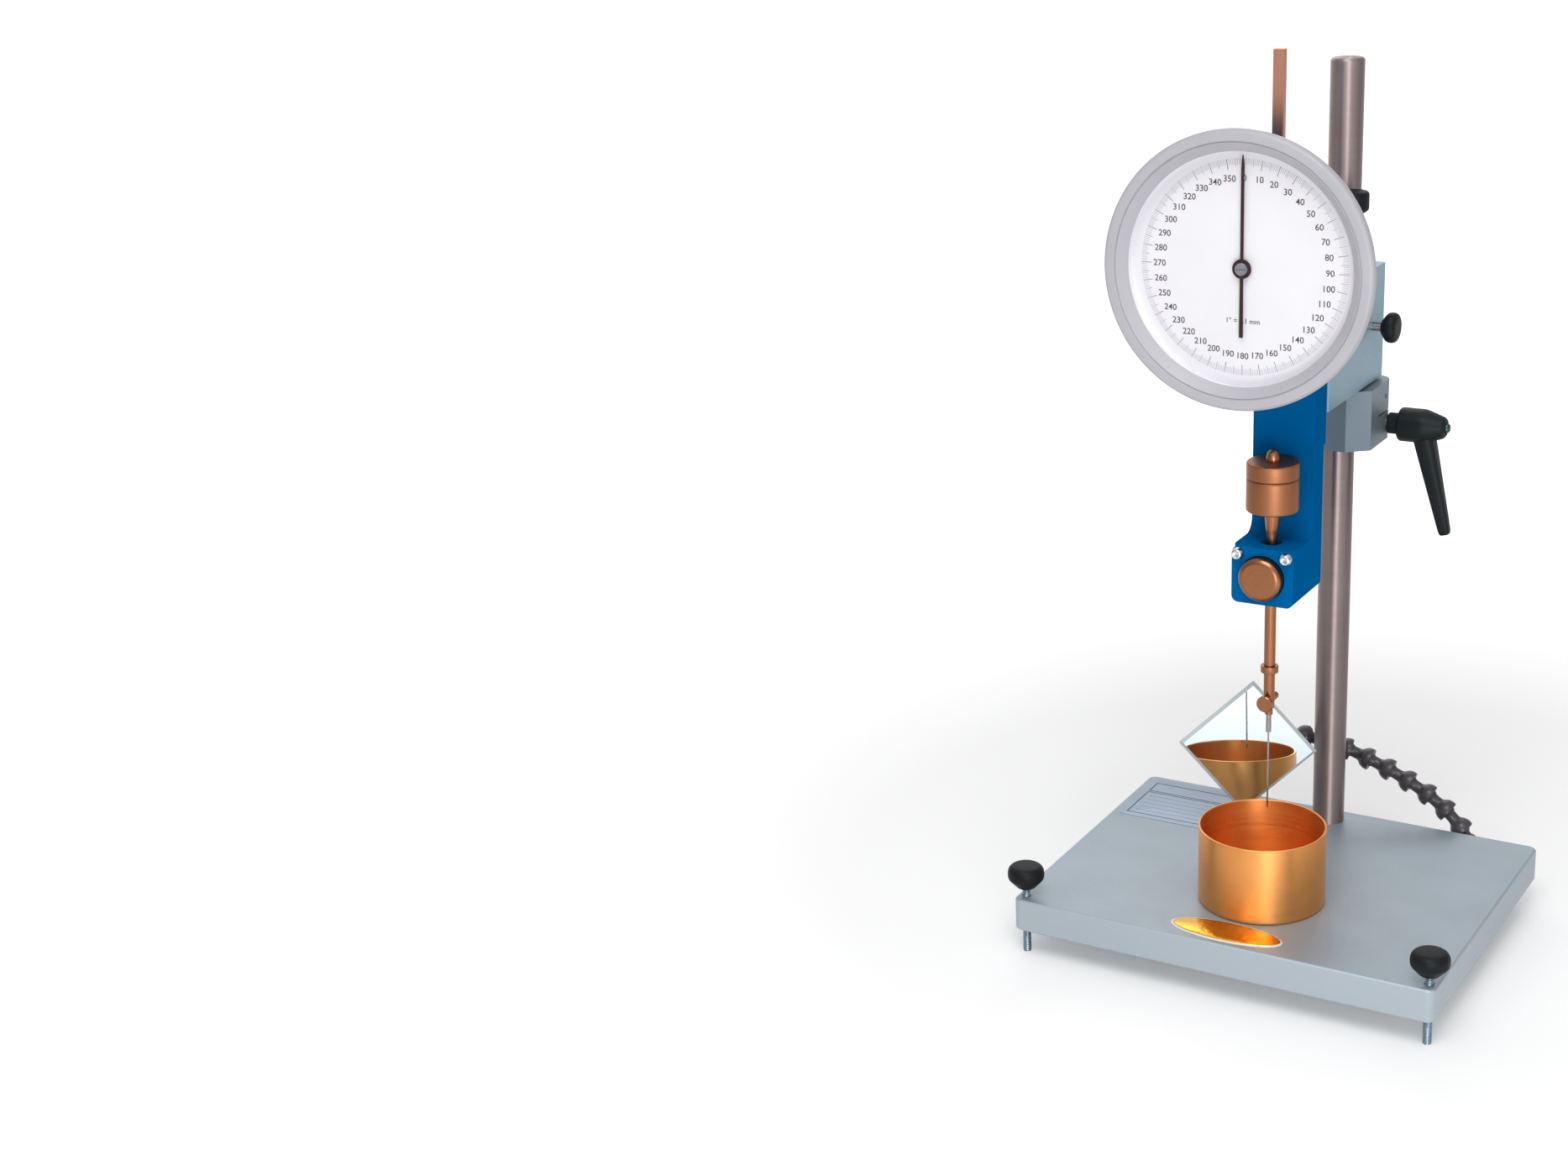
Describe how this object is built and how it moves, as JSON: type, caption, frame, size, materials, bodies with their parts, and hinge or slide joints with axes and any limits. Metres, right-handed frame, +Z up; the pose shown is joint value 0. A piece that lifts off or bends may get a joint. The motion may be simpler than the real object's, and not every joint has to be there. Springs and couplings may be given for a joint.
{
  "type": "bitumen penetrometer",
  "caption": "Bench penetrometer: round dial driven by rack and pinion, weighted needle plunger over a cup, clamped head on a column, levelling base, jointed mirror arm.",
  "frame": {"origin": "on the bench, in the middle of the foot under the column", "axes": "+Z up along the column, +X to the operator's right, +Y from the operator to the column"},
  "size_m": [0.2614, 0.2177, 0.518],
  "materials": {
    "aluminium_satin": "satin anodised, bluish grey",
    "steel": "ground and lightly brushed",
    "chrome": "polished plating",
    "blue_paint": "semi-gloss blue",
    "grey_paint": "semi-gloss light grey",
    "white_plate": "matt white, printed scale",
    "black_paint": "satin black",
    "clear_glass": "clear, polished",
    "mirror": "silvered glass",
    "bronze": "turned bronze, satin",
    "cup_brass": "spun brass, polished",
    "black_plastic": "black moulded, slight sheen",
    "arm_plastic": "dark grey moulded"
  },
  "bodies": {
    "base": {"base_plate": "aluminium_satin", "column": "steel", "rear_foot": "aluminium_satin", "level_body": "bronze", "level_glass": "clear_glass", "arm_elbow": "arm_plastic"},
    "levelling_left": {"levelling_rod_left": "steel", "levelling_knob_left": "black_plastic"},
    "levelling_right": {"levelling_rod_right": "steel", "levelling_knob_right": "black_plastic"},
    "cup": {"sample_cup": "cup_brass"},
    "clamp": {"clamp_collar": "aluminium_satin"},
    "lever": {"clamp_stud": "steel", "clamp_lever": "black_plastic"},
    "fine_adjuster": {"fine_screw": "steel", "fine_knob": "black_plastic"},
    "carriage": {"carrier_block": "aluminium_satin", "head_frame": "blue_paint", "frame_bolts": "steel", "head_cover": "blue_paint", "cover_screws": "chrome", "plunger_bush": "bronze", "release_spring": "steel", "gear_housing": "aluminium_satin", "arbor_bushes": "bronze", "dial_case": "blue_paint", "dial_bezel": "grey_paint", "dial_plate": "white_plate", "dial_ring": "white_plate", "dial_glass": "clear_glass"},
    "lock": {"lock_screw": "steel", "lock_knob": "black_plastic"},
    "release": {"release_button": "bronze", "release_yoke": "steel"},
    "rack_bar": {"rack": "bronze"},
    "pointer_set": {"pointer": "black_paint", "pointer_nut": "chrome", "arbor": "steel", "pinion": "bronze"},
    "falling_set": {"plunger": "bronze", "weight_large": "bronze", "weight_small": "bronze", "needle_chuck": "bronze", "needle_ferrule": "steel", "needle": "steel"},
    "chuck_clamp": {"chuck_screw": "bronze"},
    "link_01": {"arm_link_01": "arm_plastic"},
    "link_02": {"arm_link_02": "arm_plastic"},
    "link_03": {"arm_link_03": "arm_plastic"},
    "link_04": {"arm_link_04": "arm_plastic"},
    "link_05": {"arm_link_05": "arm_plastic"},
    "link_06": {"arm_link_06": "arm_plastic"},
    "link_07": {"arm_link_07": "arm_plastic"},
    "link_08": {"arm_link_08": "arm_plastic"},
    "link_09": {"arm_link_09": "arm_plastic"},
    "link_10": {"arm_link_10": "arm_plastic"},
    "link_11": {"arm_link_11": "arm_plastic"},
    "link_12": {"arm_link_12": "arm_plastic"},
    "mirror": {"mirror_holder": "arm_plastic", "mirror_glass": "mirror"}
  },
  "joints": [
    {"name": "levelling_left_turn", "type": "hinge", "parent": "base", "child": "levelling_left", "pos_m": [-0.12, -0.177, 0.036], "axis": [0, 0, 1], "continuous": true},
    {"name": "levelling_right_turn", "type": "hinge", "parent": "base", "child": "levelling_right", "pos_m": [0.12, -0.177, 0.036], "axis": [0, 0, 1], "continuous": true},
    {"name": "cup_slide", "type": "slide", "parent": "base", "child": "cup", "axis": [1, 0, 0], "range_m": [0, 0.075]},
    {"name": "coarse_height", "type": "slide", "parent": "base", "child": "clamp", "axis": [0, 0, 1], "range_m": [-0.025, 0.11]},
    {"name": "lever_turn", "type": "hinge", "parent": "clamp", "child": "lever", "pos_m": [0, 0.016, 0.2885], "axis": [1, 0, 0], "range_deg": [-100, 60]},
    {"name": "fine_height", "type": "slide", "parent": "clamp", "child": "carriage", "axis": [0, 0, 1], "range_m": [-0.0012, 0.0068]},
    {"name": "fine_turn", "type": "hinge", "parent": "clamp", "child": "fine_adjuster", "pos_m": [0.0105, -0.0165, 0.036], "axis": [0, 0, 1], "range_deg": [-290, 1640]},
    {"name": "lock_turn", "type": "hinge", "parent": "carriage", "child": "lock", "pos_m": [0, 0, 0.3492], "axis": [1, 0, 0], "continuous": true},
    {"name": "release_press", "type": "slide", "parent": "carriage", "child": "release", "axis": [0, 1, 0], "range_m": [0, 0.0033], "stiffness_N_per_m": 800, "springref_m": -0.002, "deforming": ["release_spring"]},
    {"name": "rack_slide", "type": "slide", "parent": "carriage", "child": "rack_bar", "axis": [0, 0, 1], "range_m": [-0.044, 0]},
    {"name": "pointer_turn", "type": "hinge", "parent": "carriage", "child": "pointer_set", "pos_m": [-0.00809, -0.085, 0.407], "axis": [0, 1, 0], "range_deg": [-2, 445]},
    {"name": "plunger_fall", "type": "slide", "parent": "carriage", "child": "falling_set", "axis": [0, 0, 1], "range_m": [-0.014, 0]},
    {"name": "chuck_turn", "type": "hinge", "parent": "falling_set", "child": "chuck_clamp", "pos_m": [0, -0.105, 0.153], "axis": [0, 1, 0], "continuous": true},
    {"name": "arm_bend_01", "type": "hinge", "parent": "base", "child": "link_01", "pos_m": [0.07662, 0.023, 0.03499], "axis": [0, 0, 1], "range_deg": [-2, 0.5]},
    {"name": "arm_bend_02", "type": "hinge", "parent": "link_01", "child": "link_02", "pos_m": [0.06689, 0.023, 0.04506], "axis": [0, 0, 1], "range_deg": [-2, 0.5]},
    {"name": "arm_bend_03", "type": "hinge", "parent": "link_02", "child": "link_03", "pos_m": [0.05557, 0.023, 0.05329], "axis": [0, 0, 1], "range_deg": [-2, 0.5]},
    {"name": "arm_bend_04", "type": "hinge", "parent": "link_03", "child": "link_04", "pos_m": [0.0432, 0.023, 0.05986], "axis": [0, 0, 1], "range_deg": [-2, 0.5]},
    {"name": "arm_bend_05", "type": "hinge", "parent": "link_04", "child": "link_05", "pos_m": [0.03041, 0.023, 0.06556], "axis": [0, 0, 1], "range_deg": [-2, 0.5]},
    {"name": "arm_bend_06", "type": "hinge", "parent": "link_05", "child": "link_06", "pos_m": [0.01726, 0.023, 0.07034], "axis": [0, 0, 1], "range_deg": [-2, 0.5]},
    {"name": "arm_bend_07", "type": "hinge", "parent": "link_06", "child": "link_07", "pos_m": [0.00394, 0.023, 0.07467], "axis": [0, 0, 1], "range_deg": [-4, 4]},
    {"name": "arm_bend_08", "type": "hinge", "parent": "link_07", "child": "link_08", "pos_m": [-0.00895, 0.01955, 0.0789], "axis": [0, 0, 1], "range_deg": [-4, 4]},
    {"name": "arm_bend_09", "type": "hinge", "parent": "link_08", "child": "link_09", "pos_m": [-0.02014, 0.01228, 0.08314], "axis": [0, 0, 1], "range_deg": [-4, 4]},
    {"name": "arm_bend_10", "type": "hinge", "parent": "link_09", "child": "link_10", "pos_m": [-0.02873, 0.00204, 0.0873], "axis": [0, 0, 1], "range_deg": [-4, 4]},
    {"name": "arm_bend_11", "type": "hinge", "parent": "link_10", "child": "link_11", "pos_m": [-0.03463, -0.01005, 0.09118], "axis": [0, 0, 1], "range_deg": [-4, 4]},
    {"name": "arm_bend_12", "type": "hinge", "parent": "link_11", "child": "link_12", "pos_m": [-0.03722, -0.0234, 0.09452], "axis": [0, 0, 1], "range_deg": [-4, 4]},
    {"name": "mirror_tilt", "type": "hinge", "parent": "link_12", "child": "mirror", "pos_m": [-0.03578, -0.0371, 0.09702], "axis": [0.8894, 0.4571, 0], "range_deg": [-12, 12]}
  ],
  "couplings": [
    {"joint": "fine_turn", "follows": "fine_height", "rad_per_m": 4188.8},
    {"joint": "pointer_turn", "follows": "rack_slide", "rad_per_m": -174.53}
  ]
}
